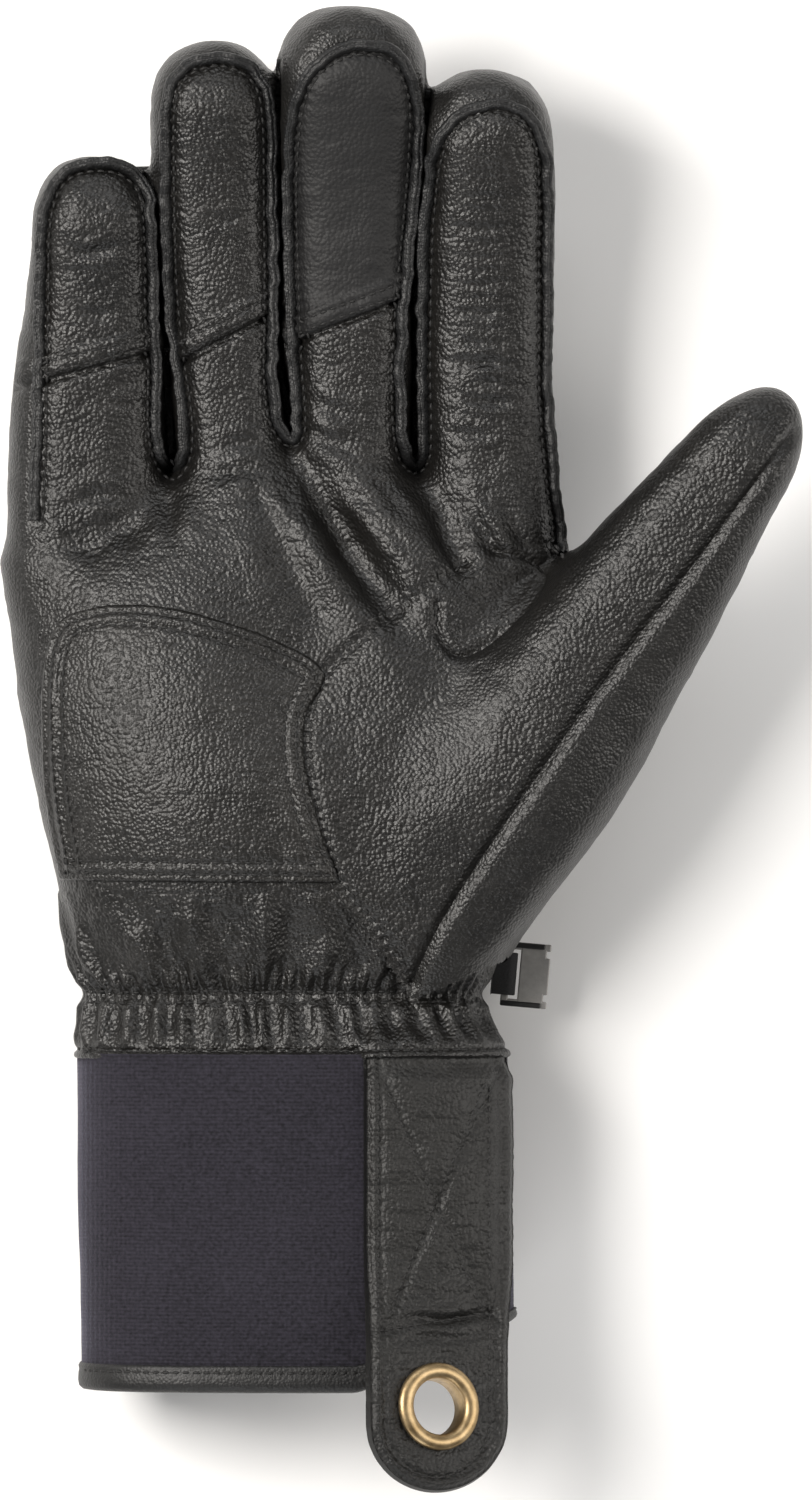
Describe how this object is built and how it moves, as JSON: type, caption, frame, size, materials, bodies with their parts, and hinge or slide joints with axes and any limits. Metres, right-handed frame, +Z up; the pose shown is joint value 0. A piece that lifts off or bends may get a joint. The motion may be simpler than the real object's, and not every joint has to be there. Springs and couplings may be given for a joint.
{
  "type": "ski glove",
  "caption": "Right-hand leather ski glove with gathered wrist, knit-faced foam cuff, heel patch and a pull tab with a brass eyelet.",
  "frame": {"origin": "middle of the base of the glove as it lies on its back", "axes": "+Y from the cuff to the fingertips, +Z up out of the palm, +X from the little finger to the thumb"},
  "size_m": [0.159, 0.296, 0.0594],
  "materials": {
    "palm_leather": "fine pebbled black leather, soft sheen",
    "patch_leather": "pebbled black leather, soft sheen",
    "back_leather": "smooth black leather, soft sheen",
    "tab_leather": "creased black leather, dull",
    "binding_leather": "smooth black leather",
    "cuff_knit": "fine charcoal knit on foam",
    "eyelet_brass": "antique brass, satin",
    "clip_metal": "grey, satin",
    "clip_webbing": "black narrow webbing"
  },
  "bodies": {
    "root": {"palm_panel": "palm_leather", "pinky_tip_front": "palm_leather", "ring_tip_front": "palm_leather", "middle_tip_front": "palm_leather", "thumb_front": "palm_leather", "thumb_gusset": "palm_leather", "wrist_gather": "palm_leather", "heel_patch": "patch_leather", "thumb_outer": "back_leather", "back_panel": "back_leather", "fourchette_pinky_ring": "back_leather", "fourchette_ring_middle": "back_leather", "fourchette_middle_index": "back_leather", "pull_tab": "tab_leather", "cuff_binding": "binding_leather", "cuff": "cuff_knit", "eyelet": "eyelet_brass", "clip_plate": "clip_metal", "clip_loop": "clip_webbing"}
  },
  "joints": []
}
